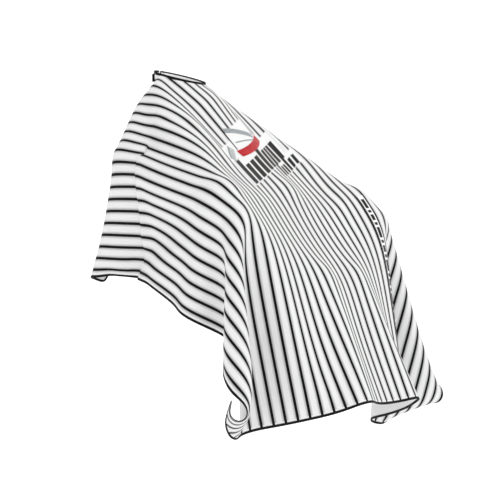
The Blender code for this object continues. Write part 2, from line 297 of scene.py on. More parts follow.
def held_points(flat):
    """The nearest grid point to each hold, on both halves: its number, where to, how firmly."""
    found = []
    for (u, v), (x, y, z), firm in HOLDS:
        for side in (1, -1):
            near = int(np.hypot(flat[:, 0] - side * u, flat[:, 1] - v).argmin())
            found.append((near, np.array((side * x, y, z)), firm))
    return found


# --- the drape


def pleat_rows(flat, index, first):
    """Rows of the grid where the pleat is folded: the numbers of their eight columns, and which side."""
    rows, sides = [], []
    for row in index:
        numbers = row[first:first + PLEAT_COLUMNS]
        u = flat[numbers[0], 0]
        if abs(u) > PLEAT_OPEN:
            rows.append(numbers)
            sides.append(np.sign(u))
    return np.array(rows), np.array(sides)[:, None]


def fold_pleat(points, rows, sides, pull):
    """Draws the pleat's layers together: the back one behind the middle one, behind the front one."""
    back, inner, front, beyond = (rows[:, k] for k in (0, 2, 5, 7))
    outward = np.array(PLEAT_OUTWARD) * np.hstack([sides, sides**2, sides**2])
    for one, other, layers in ((back, front, 2), (inner, beyond, 1)):
        miss = points[other] - outward * (PLEAT_GAP * layers) - points[one]
        points[one] += miss * (0.5 * pull)
        points[other] -= miss * (0.5 * pull)
    for k, share in ((3, 0.12), (4, 0.88)):
        wanted = points[inner] * (1 - share) + points[front] * share - outward * PLEAT_TUCK
        points[rows[:, k]] += (wanted - points[rows[:, k]]) * pull * PLEAT_SLACK


def tuck_pleat(points, rows, sides):
    """Lays the pleat's hidden layers flat behind its front one."""
    outward = np.array(PLEAT_OUTWARD) * np.hstack([sides, sides**2, sides**2])
    points[rows[:, 2]] = points[rows[:, 7]] - outward * PLEAT_GAP
    for column, one, other, share, depth in TUCKED_COLUMNS:
        between = points[rows[:, one]] * (1 - share) + points[rows[:, other]] * share
        points[rows[:, column]] = between + outward * (PLEAT_TUCK * depth)


def hang_collar(flat, points):
    """Hangs the cloth by the ends of the neck edge straight down, so that the closure lies flat on it."""
    depth = np.abs(flat[:, 0]) - NOTCH_HALF_WIDTH
    near = (depth > -0.001) & (depth < COLLAR_FADE[0]) & (flat[:, 1] < COLLAR_FADE[1])
    for number in np.flatnonzero(near):
        u, v = flat[number]
        share = min(1, (COLLAR_FADE[0] - depth[number]) / (COLLAR_FADE[0] - COLLAR_FLAT[0]))
        share *= min(1, (COLLAR_FADE[1] - v) / (COLLAR_FADE[1] - COLLAR_FLAT[1]))
        distance = float(np.sign(u)) * (v + COLLAR_END)
        place = np.array(nape_point(distance, max(0.0, float(depth[number])), 0.0))
        points[number] += (place - points[number]) * share**2 * (3 - 2 * share)


def springs(flat, index):
    """Pairs of grid points with their flat distance and kind, in groups that share no point."""
    rows, columns = np.meshgrid(*(np.arange(n) for n in index.shape), indexing="ij")
    groups = []
    for across, down, kind in ((1, 0, 0), (0, 1, 0), (1, 1, 1), (1, -1, 1), (2, 0, 2), (0, 2, 2)):
        place = rows if across else columns
        period = 4 if kind == 2 else 2
        for first in (0, 1):
            ok = (place % period // (period // 2)) == first
            ok &= (rows + across < index.shape[0]) & (columns + down >= 0)
            ok &= columns + down < index.shape[1]
            i, j = rows[ok], columns[ok]
            a, b = index[i, j], index[i + across, j + down]
            whole = (a >= 0) & (b >= 0)
            if kind == 2:
                whole &= index[i + across // 2, j + down // 2] >= 0
            a, b = a[whole], b[whole]
            groups.append((a, b, np.linalg.norm(flat[a] - flat[b], axis=1), kind))
    return groups


def drape(cell, steps):
    """The cloth hung from the neck edge over the wearer, and left to settle."""
    flat, index, on_notch = cut_cloth(cell)
    groups = springs(flat, index)
    limbs = seated_wearer()
    held = held_points(flat)
    rows, sides = pleat_rows(flat, index, round(PLEAT_PLACE / cell))
    touching = np.setdiff1d(np.arange(len(flat)), rows[:, 1:5])
    give = (0, SHEAR_GIVE / TIME_STEP**2, BEND_GIVE / TIME_STEP**2)
    points = np.stack([flat[:, 0], NOTCH_CENTRE - flat[:, 1], np.full(len(flat), 0.03)], 1)
    speed = np.zeros_like(points)
    free = np.ones(len(points))
    free[on_notch] = 0
    start = points[on_notch].copy()
    neck = np.array([neck_point(t * NECK_END) for t in notch_share(flat[on_notch])])
    for step in range(steps):
        speed[:, 2] -= GRAVITY * TIME_STEP
        speed *= DAMPING
        before = points.copy()
        points += speed * TIME_STEP
        share = min(1, (step + 1) / NECK_STEPS)
        points[on_notch] = start * (1 - share) + neck * share
        for number, place, firm in held:
            points[number] += (place - points[number]) * firm * min(1, (step + 1) / HOLD_STEPS)
        for a, b, rest, kind in groups:
            way = points[a] - points[b]
            length = np.sqrt(np.einsum("ij,ij->i", way, way)) + 1e-12
            extra = length - rest
            if kind == 2:
                extra = np.minimum(extra, 0)
            way *= (extra / (free[a] + free[b] + give[kind] + 1e-9) / length)[:, None]
            points[a] -= way * free[a][:, None]
            points[b] += way * free[b][:, None]
        hit = np.zeros(len(points), bool)
        outer = points[touching]
        for limb in limbs:
            hit[touching] |= limb.push(outer)
        points[touching] = outer
        fold_pleat(points, rows, sides, PLEAT_PULL * min(1, (step + 1) / HOLD_STEPS))
        speed = (points - before) / TIME_STEP
        speed[hit] *= 1 - FRICTION
    tuck_pleat(points, rows, sides)
    hang_collar(flat, points)
    return flat, index, points


# --- meshes


def new_piece(name, verts, faces, body="cape", slot=None, smooth=True):
    """A mesh that rides on a body and takes its finish from a material slot of the record."""
    mesh = bpy.data.meshes.new(name)
    mesh.from_pydata([tuple(v) for v in verts], [], [tuple(f) for f in faces])
    mesh.validate()
    if smooth:
        mesh.shade_smooth()
    piece = bpy.data.objects.new(name, mesh)
    bpy.context.scene.collection.objects.link(piece)
    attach(piece, body)
    if slot:
        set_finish(piece, slot)
    return piece


def apply_modifiers(piece):
    """Turns what the modifiers make into the piece's own mesh."""
    graph = bpy.context.evaluated_depsgraph_get()
    made = bpy.data.meshes.new_from_object(piece.evaluated_get(graph), preserve_all_data_layers=True,
                                           depsgraph=graph)
    piece.modifiers.clear()
    piece.data = made


def cloth_faces(index):
    """Faces of the grid: a quad in each whole cell, and a triangle where one corner is cut away."""
    faces = []
    for i in range(index.shape[0] - 1):
        for j in range(index.shape[1] - 1):
            corners = [index[i, j], index[i, j + 1], index[i + 1, j + 1], index[i + 1, j]]
            corners = [int(c) for c in corners if c >= 0]
            if len(corners) >= 3:
                faces.append(corners)
    return faces


def make_cloth():
    flat, index, points = drape(COARSE_CELL, COARSE_STEPS)
    cloth = new_piece("cape_cloth", points, cloth_faces(index), slot="striped_cloth")
    layer = cloth.data.uv_layers.new(name="flat")
    for loop in cloth.data.loops:
        layer.data[loop.index].uv = flat[loop.vertex_index]
    divide = cloth.modifiers.new("Subdivision", "SUBSURF")
    divide.levels = divide.render_levels = 2
    divide.uv_smooth = "NONE"
    apply_modifiers(cloth)
    cloth.data.shade_smooth()
    return cloth


# --- places on the cloth


class Surface:
    """Finds points of the draped cloth from places on the flat one."""

    def __init__(self, piece):
        mesh = piece.data
        mesh.calc_loop_triangles()
        self.flat = [None] * len(mesh.vertices)
        for loop, place in zip(mesh.loops, mesh.uv_layers["flat"].data):
            self.flat[loop.vertex_index] = Vector((*place.uv, 0))
        self.points = [v.co.copy() for v in mesh.vertices]
        self.normals = [v.normal.copy() for v in mesh.vertices]
        self.corners = [tuple(t.vertices) for t in mesh.loop_triangles]
        self.tree = BVHTree.FromPolygons(self.flat, self.corners)

    def at(self, u, v, level=0.0):
        """Point at a place and a height above the outer face."""
        spot, _, face, _ = self.tree.find_nearest(Vector((u, v, 0)))
        a, b, c = (self.flat[n] for n in self.corners[face])
        whole = (b - a).cross(c - a).z
        share_b = (spot - a).cross(c - a).z / whole
        share_c = (b - a).cross(spot - a).z / whole
        shares = (1 - share_b - share_c, share_b, share_c)
        point, normal = Vector(), Vector()
        for number, share in zip(self.corners[face], shares):
            point += self.points[number] * share
            normal += self.normals[number] * share
        return point + normal.normalized() * level


def cloth_edge(piece, surface):
    """The cloth's outer edge, as a list of (point, outward, normal)."""
    form = bmesh.new()
    form.from_mesh(piece.data)
    links = {}
    for edge in form.edges:
        if edge.is_boundary:
            for vert in edge.verts:
                links.setdefault(vert.index, []).append(edge.other_vert(vert).index)
    inner = {}
    for edge in form.edges:
        if not edge.is_boundary:
            for vert in edge.verts:
                if vert.index in links:
                    inner.setdefault(vert.index, []).append(edge.other_vert(vert).index)
    form.free()
    start = min(links, key=lambda n: (surface.flat[n] - Vector((-NOTCH_HALF_WIDTH, 0, 0))).length)
    chain = [start]
    before, here = None, start
    while True:
        onward = [n for n in links[here] if n != before]
        if before is None:
            onward.sort(key=lambda n: surface.flat[n].x)
        before, here = here, onward[0]
        if here == start:
            break
        chain.append(here)
    end = min(chain, key=lambda n: (surface.flat[n] - Vector((NOTCH_HALF_WIDTH, 0, 0))).length)
    outer = chain[:chain.index(end) + 1]
    found = []
    for i, number in enumerate(outer):
        point, normal = surface.points[number], surface.normals[number]
        ahead = surface.points[outer[min(i + 1, len(outer) - 1)]]
        behind = surface.points[outer[max(i - 1, 0)]]
        out = (ahead - behind).normalized().cross(normal).normalized()
        beside = inner.get(number, [number])
        inside = sum((surface.points[n] for n in beside), Vector()) / len(beside)
        if out.dot(point - inside) < 0:
            out = -out
        found.append((point, out, normal))
    return found


def even_out(frames, spacing):
    """The same run of (point, outward, normal) with an even spacing."""
    points = np.array([f[0] for f in frames])
    gaps = np.linalg.norm(np.diff(points, axis=0), axis=1)
    places = np.concatenate([[0], np.cumsum(gaps)])
    wanted = np.linspace(0, places[-1], max(2, round(places[-1] / spacing)) + 1)
    rows = np.array([[*f[0], *f[1], *f[2]] for f in frames])
    found = np.stack([np.interp(wanted, places, rows[:, c]) for c in range(9)], 1)
    return [(Vector(r[:3]), Vector(r[3:6]).normalized(), Vector(r[6:]).normalized()) for r in found]


# --- sewn trim


def tape_section(width, thick, sides):
    """Closed outline of a flat tape's section, (out, up) pairs: a squared ellipse."""
    outline = []
    for k in range(sides):
        angle = 2 * pi * k / sides
        c, s = cos(angle), sin(angle)
        outline.append((abs(c) ** 0.6 * (1 if c > 0 else -1) * width / 2,
                        abs(s) ** 0.8 * (1 if s > 0 else -1) * thick / 2))
    return outline


def sweep(name, frames, section, shift, slot, body="cape"):
    """A tape along frames. The section moves out by shift. Its UV map is the length and the way round."""
    sides = len(section)
    verts = [p + out * (x + shift) + normal * y for p, out, normal in frames for x, y in section]
    faces = []
    for i in range(len(frames) - 1):
        for k in range(sides):
            a, b = i * sides + k, i * sides + (k + 1) % sides
            faces.append((a, b, b + sides, a + sides))
    faces.append(tuple(range(sides - 1, -1, -1)))
    last = (len(frames) - 1) * sides
    faces.append(tuple(range(last, last + sides)))
    piece = new_piece(name, verts, faces, body, slot)
    face_outward(piece)
    layer = piece.data.uv_layers.new(name="tape")
    lengths = [0.0]
    for (p, _, _), (q, _, _) in zip(frames, frames[1:]):
        lengths.append(lengths[-1] + (q - p).length)
    for loop in piece.data.loops:
        ring, k = divmod(loop.vertex_index, sides)
        layer.data[loop.index].uv = (lengths[ring], k / sides)
    piece.data.set_sharp_from_angle(angle=radians(60))
    return piece


def face_outward(piece):
    form = bmesh.new()
    form.from_mesh(piece.data)
    bmesh.ops.recalc_face_normals(form, faces=form.faces)
    form.to_mesh(piece.data)
    form.free()


def stitches(name, rows, slot, body="cape", length=0.0026, thick=0.00045):
    """Short threads that lie on a surface. Each is (middle, along, normal)."""
    verts, faces = [], []
    profile = ((-0.5, -0.4), (-0.35, 0.6), (0.35, 0.6), (0.5, -0.4))
    for middle, along, normal in rows:
        side = along.cross(normal).normalized()
        first = len(verts)
        for x, z in profile:
            for y in (-0.5, 0.5):
                verts.append(middle + along * (x * length) + side * (y * thick) + normal * (z * thick))
        for i in (0, 2, 4):
            faces.append((first + i, first + i + 1, first + i + 3, first + i + 2))
        faces.append((first, first + 2, first + 4, first + 6))
        faces.append((first + 1, first + 7, first + 5, first + 3))
        faces.append((first, first + 6, first + 7, first + 1))
    piece = new_piece(name, verts, faces, body, slot, smooth=False)
    face_outward(piece)
    return piece


def edge_stitches(frames, shift, level):
    """Stitches beside an edge, on its outer face."""
    rows = []
    for before, (point, out, normal), after in zip(frames, frames[1:], frames[2:]):
        along = (after[0] - before[0]).normalized()
        rows.append((point + out * shift + normal * level, along, normal))
    return rows


HEM_TAPE_WIDTH = 0.0070
HEM_TAPE_THICK = 0.0024
HEM_SPACING = 0.0045
STITCH_PITCH = 0.0042


def make_hem(frames):
    """Binding folded over the outer edge, with its row of stitches."""
    section = tape_section(HEM_TAPE_WIDTH, HEM_TAPE_THICK, 12)
    shift = -HEM_TAPE_WIDTH * 0.3
    hem = sweep("hem_piping", even_out(frames, HEM_SPACING), section, shift, "black_tape")
    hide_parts("hem_binding")
    inset = shift - HEM_TAPE_WIDTH * 0.28
    rows = edge_stitches(even_out(frames, STITCH_PITCH), inset, HEM_TAPE_THICK * 0.42)
    sewn = stitches("hem_stitches", rows, "black_tape")
    return hem, sewn


NECK_TAPE_HEIGHT = 0.0085
NECK_TAPE_THICK = 0.0026
NECK_SPACING = 0.004
NECK_STITCH_PITCH = 0.0035
NECK_STITCH = 0.0022
FACING_HEIGHT = 0.0215
FACING_THICK = 0.0011
FACING_LEVEL = -0.0024


def neck_frames(spacing, level=0.0, drop=0.0):
    """Points round the neck edge: (point, up, outward)."""
    count = round(0.46 / spacing)
    found = []
    for i in range(count + 1):
        turn = NECK_END * (2 * i / count - 1)
        out = neck_outward(turn)
        found.append((neck_point(turn) + out * level - Vector((0, 0, drop)), Vector((0, 0, 1)), out))
    return found


def make_neck():
    """Binding over the neck edge, its stitches, and the facing inside it."""
    section = tape_section(NECK_TAPE_HEIGHT, NECK_TAPE_THICK, 12)
    binding = sweep("neck_piping", neck_frames(NECK_SPACING), section, 0.0, "black_tape")
    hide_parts("neck_binding")
    level = NECK_TAPE_THICK * 0.45
    rows = edge_stitches(neck_frames(NECK_STITCH_PITCH), -NECK_TAPE_HEIGHT * 0.30, level)
    sewn = stitches("neck_stitches", rows, "black_tape", length=NECK_STITCH)
    section = tape_section(FACING_HEIGHT, FACING_THICK, 16)
    frames = neck_frames(NECK_SPACING, FACING_LEVEL, FACING_HEIGHT / 2 + 0.0008)
    facing = sweep("neck_facing", frames, section, 0.0, "white_tape")
    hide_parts("neck_band")
    frames = neck_frames(NECK_STITCH_PITCH, FACING_LEVEL, FACING_HEIGHT - 0.0015)
    rows = [(p + n * -FACING_THICK * 0.5, along, -n) for p, along, n in edge_stitches(frames, 0.0, 0.0)]
    lower = stitches("neck_facing_stitches", rows, "white_tape", length=NECK_STITCH)
    return [binding, sewn, facing, lower]


# --- closure at the nape


CLOSURE_TOP = 0.005
CLOSURE_BOTTOM = 0.027
CLOSURE_MIDDLE = (CLOSURE_TOP + CLOSURE_BOTTOM) / 2
CLOSURE_HALF = (CLOSURE_BOTTOM - CLOSURE_TOP) / 2
STRAP_CORNER = 0.0012
STRAP_STITCH_PITCH = 0.0032


def nape_strap(name, ends, levels, round_end, slot, body, steps=36, rows=10):
    """A tape along the collar between two distances from the nape. Its far end may be a half circle."""
    low, high = ends
    thick = levels[1] - levels[0]
    grid = []
    for i in range(steps + 1):
        share = 0.5 - 0.5 * cos(pi * i / steps)
        distance = low + (high - low) * share
        half = CLOSURE_HALF
        for is_round, beyond in ((False, distance - low), (round_end, high - distance)):
            radius = CLOSURE_HALF if is_round else STRAP_CORNER
            if beyond < radius:
                half = min(half, CLOSURE_HALF - radius + (radius**2 - (radius - beyond) ** 2) ** 0.5)
        half = max(half, 0.0004)
        grid.append([nape_point(distance, CLOSURE_MIDDLE + half * (2 * j / rows - 1), levels[1])
                     for j in range(rows + 1)])
    verts = [p for column in grid for p in column]
    faces = []
    for i in range(steps):
        for j in range(rows):
            a = i * (rows + 1) + j
            faces.append((a, a + 1, a + rows + 2, a + rows + 1))
    piece = new_piece(name, verts, faces, body, slot)
    layer = piece.data.uv_layers.new(name="tape")
    for loop in piece.data.loops:
        i, j = divmod(loop.vertex_index, rows + 1)
        layer.data[loop.index].uv = (i / steps * (high - low), j / rows)
    face_away(piece)
    solid = piece.modifiers.new("Solidify", "SOLIDIFY")
    solid.thickness = thick
    solid.offset = -1
    bevel = piece.modifiers.new("Bevel", "BEVEL")
    bevel.width = thick * 0.3
    bevel.segments = 2
    bevel.limit_method = "ANGLE"
    bevel.angle_limit = radians(50)
    apply_modifiers(piece)
    piece.data.shade_smooth()
    piece.data.set_sharp_from_angle(angle=radians(50))
    return piece


def face_away(piece):
    """Turns the faces of an open sheet round the neck so that they face away from it."""
    form = bmesh.new()
    form.from_mesh(piece.data)
    form.normal_update()
    inward = [f for f in form.faces if f.normal.dot(Vector((f.calc_center_median().x, 0.05, 0))) < 0]
    bmesh.ops.reverse_faces(form, faces=inward)
    form.to_mesh(piece.data)
    form.free()


def strap_stitches(name, ends, level, round_end, inset, slot, body):
    """A row of stitches round a strap, inset from its edge."""
    low, high = ends[0] + inset, ends[1] - inset
    half = CLOSURE_HALF - inset
    last = high - (half if round_end else 0)
    count = round((last - low) / STRAP_STITCH_PITCH)
    run = [low + (last - low) * i / count for i in range(count + 1)]
    if round_end:
        turns = [(high - half + half * sin(pi * k / 10), -half * cos(pi * k / 10)) for k in range(1, 10)]
    else:
        turns = [(high, -half + 2 * half * k / 6) for k in range(1, 6)]
    closing = [(low, half - 2 * half * k / 6) for k in range(1, 6)]
    path = [(d, -half) for d in run] + turns + [(d, half) for d in run[::-1]] + closing
    points = [nape_point(d, CLOSURE_MIDDLE + x, level) for d, x in path]
    rows = []
    for i, (d, _) in enumerate(path):
        along = (points[(i + 1) % len(path)] - points[i - 1]).normalized()
        rows.append((points[i], along, nape_face(d)))
    return stitches(name, rows, slot, body, length=0.0021, thick=0.0005)


def turned(name, profile, distance, level, body="cape", inward=False, segments=48):
    """A turned metal piece whose axis points out of the collar."""
    face = nape_face(distance) * (-1 if inward else 1)
    centre = nape_point(distance, SNAP_DEPTH, level)
    place = Matrix.Translation(centre) @ face.to_track_quat("Z", "Y").to_matrix().to_4x4()
    closed = profile[0][0] > 0
    verts, faces, rings = [], [], []
    for radius, height in profile:
        count = segments if radius > 0 else 1
        rings.append(list(range(len(verts), len(verts) + count)))
        for k in range(count):
            angle = 2 * pi * k / segments
            verts.append(place @ Vector((radius * cos(angle), radius * sin(angle), height)))
    for low, high in zip(rings, rings[1:] + (rings[:1] if closed else [])):
        for k in range(segments):
            after = (k + 1) % segments
            corners = ((low, k), (low, after), (high, after), (high, k))
            kept = list(dict.fromkeys(ring[n % len(ring)] for ring, n in corners))
            if len(kept) >= 3:
                faces.append(kept)
    piece = new_piece(name, verts, faces, body, "snap_metal")
    face_outward(piece)
    piece.data.set_sharp_from_angle(angle=radians(35))
    return piece


STUD = (
    (0, 0), (0.0052, 0), (0.0055, 0.00012), (0.0055, 0.00035), (0.0050, 0.00052), (0.0040, 0.00042),
    (0.0030, 0.00046), (0.0025, 0.00070), (0.0019, 0.00095), (0.0018, 0.00125), (0.0021, 0.00150),
    (0.0021, 0.00172), (0.0017, 0.00200), (0.0009, 0.00210), (0, 0.00210),
)
POST = (
    (0, 0), (0.0034, 0), (0.0038, 0.00006), (0.0050, 0.00028), (0.0055, 0.00050), (0.0055, 0.00070),
    (0.0052, 0.00080), (0.0030, 0.00080), (0.0026, 0.00058), (0.0012, 0.00055), (0, 0.00055),
)
CAP = (
    (0, 0), (0.0056, 0), (0.0060, 0.00015), (0.0060, 0.00045), (0.0057, 0.00080), (0.0050, 0.00115),
    (0.0043, 0.00138), (0.0035, 0.00148), (0.0033, 0.00140), (0.0018, 0.00132), (0, 0.00132),
)
SOCKET = (
    (0.0032, 0.0002), (0.0034, 0), (0.0050, 0), (0.0054, 0.00020), (0.0055, 0.00045), (0.0055, 0.00140),
    (0.0052, 0.00160), (0.0034, 0.00160), (0.0032, 0.00140),
)
STRIP_ENDS, STRIP_LEVELS = (0.0055, 0.058), (0.0019, 0.0026)
ANCHOR_ENDS, ANCHOR_LEVELS = (-0.046, -0.0292), (0.0019, 0.0063)
TAB_ENDS, TAB_LEVELS = (-0.028, 0.046), (0.0062, 0.0076)
STUD_LEVEL, SOCKET_LEVEL, POST_LEVEL = 0.0031, 0.0040, -0.0044
ANCHOR_LAYERS = 3


def make_closure():
    """The strap with its snaps, which swings open, and what it closes on."""
    made = []
    strip = nape_strap("nape_stud_strip", STRIP_ENDS, STRIP_LEVELS, False, "white_tape", "cape")
    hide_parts("stud_strip")
    sewn = strap_stitches("nape_strip_stitches", STRIP_ENDS, STRIP_LEVELS[1], False, 0.0016,
                          "white_tape", "cape")
    made += [strip, sewn]
    step = (ANCHOR_LEVELS[1] - ANCHOR_LEVELS[0]) / ANCHOR_LAYERS
    for layer in range(ANCHOR_LAYERS):
        low = ANCHOR_LEVELS[0] + layer * step
        ends = (ANCHOR_ENDS[0] + 0.0006 * layer, ANCHOR_ENDS[1])
        fold = nape_strap(f"nape_anchor_fold_{layer + 1}", ends, (low, low + step * 0.92), False,
                          "black_tape", "cape", steps=12)
        made.append(fold)
    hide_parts("tab_anchor")
    made.append(strap_stitches("nape_anchor_stitches", ANCHOR_ENDS, ANCHOR_LEVELS[1] - 0.0001,
                               False, 0.0022, "black_tape", "cape"))
    tab = nape_strap("nape_tab", TAB_ENDS, TAB_LEVELS, True, "black_tape", "tab")
    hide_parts("closure_tab")
    made += [tab, strap_stitches("nape_tab_stitches", TAB_ENDS, TAB_LEVELS[1], True, 0.0018,
                                 "black_tape", "tab")]
    for number, distance in enumerate(STUD_PLACES, 1):
        stud = turned(f"stud_{number}", STUD, distance, STUD_LEVEL)
        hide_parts(f"snap_stud_{number}")
        post = turned(f"stud_post_{number}", POST, distance, POST_LEVEL, inward=True)
        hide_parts(f"snap_post_{number}")
        made += [stud, post]
    for number, distance in enumerate(SOCKET_PLACES, 1):
        socket = turned(f"socket_{number}", SOCKET, distance, SOCKET_LEVEL, "tab")
        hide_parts(f"snap_socket_{number}")
        cap = turned(f"socket_cap_{number}", CAP, distance, TAB_LEVELS[1] + 0.0005, "tab")
        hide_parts(f"snap_cap_{number}")
        made += [socket, cap]
    return made


# --- tape and print on the cloth


def patch(spots, columns, rows):
    """Faces of a grid of spots, given column by column."""
    faces = []
    for i in range(columns):
        for j in range(rows):
            a = i * (rows + 1) + j
            faces.append((a, a + rows + 1, a + rows + 2, a + 1))
    return [list(spots), faces]


def joined(parts):
    """Several (spots, faces) as one."""
    verts, faces = [], []
    for spots, some in parts:
        first = len(verts)
        verts += spots
        faces += [tuple(first + n for n in f) for f in some]
    return verts, faces


def cells(length, size=0.004):
    return max(1, round(length / size))


def bar(surface, middle, size, turn=0.0, slant=0.0, level=0.0004, bend=None):
    """A rectangle on the cloth: middle and size as (u, v), turned, slanted, and bent by a function."""
    (mu, mv), (width, height) = middle, size
    columns, rows = cells(width), cells(height)
    spots = []
    for i in range(columns + 1):
        for j in range(rows + 1):
            x = width * (i / columns - 0.5)
            y = height * (j / rows - 0.5)
            x -= slant * y
            if bend:
                y += bend(x / width)
            u = mu + x * cos(turn) - y * sin(turn)
            v = mv + x * sin(turn) + y * cos(turn)
            spots.append(surface.at(u, v, level))
    return patch(spots, columns, rows)


TAPE_MIDDLE = -CLOTH_WIDTH / 2 + FIRST_STRIPE + 31.5 * STRIPE_PITCH
TAPE_WIDTH = 0.0265
TAPE_START, TAPE_END = 0.58, 1.13
TAPE_LEVEL = 0.0007
BLOCK_LEVEL = TAPE_LEVEL + 0.0007
BLOCK_THICK = 0.0006
BLOCK_WIDTH = 0.0115
BLOCK_LENGTHS = (0.030, 0.008, 0.018, 0.008)
BLOCK_GAP = 0.007
FIRST_BLOCK = 0.012
LAST_BLOCK = 0.008
EDGE_LINE = 0.0026


def make_side_tape(surface):
    """Woven tape down the front, with a plain row of blocks instead of lettering."""
    length = TAPE_END - TAPE_START
    middle = (TAPE_MIDDLE, (TAPE_START + TAPE_END) / 2)
    tape = new_piece("side_strip", *joined([bar(surface, middle, (TAPE_WIDTH, length), level=TAPE_LEVEL)]),
                     slot="white_tape")
    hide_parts("side_tape")
    thicken(tape, 0.0005)
    parts = []
    place = TAPE_START + FIRST_BLOCK
    number = 0
    while place + BLOCK_LENGTHS[number % 4] <= TAPE_END - LAST_BLOCK:
        block = BLOCK_LENGTHS[number % 4]
        spot = (TAPE_MIDDLE, place + block / 2)
        parts.append(bar(surface, spot, (BLOCK_WIDTH, block), level=BLOCK_LEVEL))
        place += block + BLOCK_GAP
        number += 1
    for side in (-1, 1):
        spot = (TAPE_MIDDLE + side * TAPE_WIDTH * 0.47, middle[1])
        parts.append(bar(surface, spot, (EDGE_LINE, length), level=BLOCK_LEVEL))
    blocks = new_piece("side_strip_blocks", *joined(parts), slot="black_tape")
    thicken(blocks, BLOCK_THICK)
    return tape, blocks


def thicken(piece, thick):
    """Makes an open sheet on the cloth a closed one, down towards the cloth."""
    solid = piece.modifiers.new("Solidify", "SOLIDIFY")
    solid.thickness = thick
    solid.offset = -1
    apply_modifiers(piece)
    piece.data.shade_smooth()
    piece.data.set_sharp_from_angle(angle=radians(60))


PRINT_LEVEL = 0.0004
PRINT_THICK = 0.0002
COMB_TURN = -0.50
LETTER_HEIGHTS = (0.080, 0.056, 0.056, 0.056, 0.080, 0.056, 0.056, 0.056, 0.056)
SMALL_HEIGHTS = (0.042, 0.028, 0.028, 0.040, 0.028, 0.028)
# The emblem has its own axes, along the lines of the print and down the cloth.
EMBLEM_MIDDLE = (0.0, 0.394)
EMBLEM_TURN = -0.36
EMBLEM_SLANT = 0.376


def emblem_bar(surface, middle, size, turn=0.0, slant=0.0, level=PRINT_LEVEL, bend=None):
    """A bar whose middle is given on the emblem's axes."""
    (x, y), c, s = middle, cos(EMBLEM_TURN), sin(EMBLEM_TURN)
    spot = (EMBLEM_MIDDLE[0] + x * c - y * s, EMBLEM_MIDDLE[1] + x * s + y * c)
    return bar(surface, spot, size, EMBLEM_TURN + turn, slant, level, bend)


def slanted_row(surface, start, foot, pitch, width, heights):
    """Slanted bars side by side on one line, as a plain stand-in for a word."""
    parts = []
    for number, height in enumerate(heights):
        y = foot - height / 2
        x = start + number * pitch + width / 2 - EMBLEM_SLANT * y
        parts.append(emblem_bar(surface, (x, y), (width, height), slant=EMBLEM_SLANT))
    return parts


def make_print(surface):
    """The emblem: a comb and a razor in grey, a curved banner and two rows of slanted bars."""
    tools = [
        emblem_bar(surface, (0.000, -0.042), (0.135, 0.015), turn=0.46),
        emblem_bar(surface, (-0.012, -0.016), (0.110, 0.004), turn=0.25),
        emblem_bar(surface, (-0.136, -0.022), (0.062, 0.007), turn=COMB_TURN),
    ]
    for k in range(8):
        x = 0.0075 * (k - 3.5)
        spot = (-0.130 + x * cos(COMB_TURN), -0.012 + x * sin(COMB_TURN))
        tools.append(emblem_bar(surface, spot, (0.0034, 0.015), turn=COMB_TURN))
    banner = emblem_bar(surface, (0.0, -0.002), (0.196, 0.022), level=PRINT_LEVEL + 0.0002,
                        bend=lambda x: 0.011 * (1 - 4 * x * x))
    words = slanted_row(surface, -0.156, 0.086, 0.037, 0.026, LETTER_HEIGHTS)
    words += slanted_row(surface, 0.062, 0.124, 0.026, 0.016, SMALL_HEIGHTS)
    made = []
    for name, parts in (("print_comb", tools), ("print_banner", [banner]), ("print_bars", words)):
        piece = new_piece(name, *joined(parts), slot="emblem_print")
        thicken(piece, PRINT_THICK)
        made.append(piece)
    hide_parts("chest_emblem")
    return made


# --- materials


class Wire:
    """A value made by a material's nodes. Sums with it make the nodes that work them out."""

    def __init__(self, nodes, socket):
        self.nodes, self.socket = nodes, socket

    def __add__(self, other):
        return self.nodes.math("ADD", self, other)

    def __sub__(self, other):
        return self.nodes.math("SUBTRACT", self, other)

    def __rsub__(self, other):
        return self.nodes.math("SUBTRACT", other, self)

    def __mul__(self, other):
        return self.nodes.math("MULTIPLY", self, other)


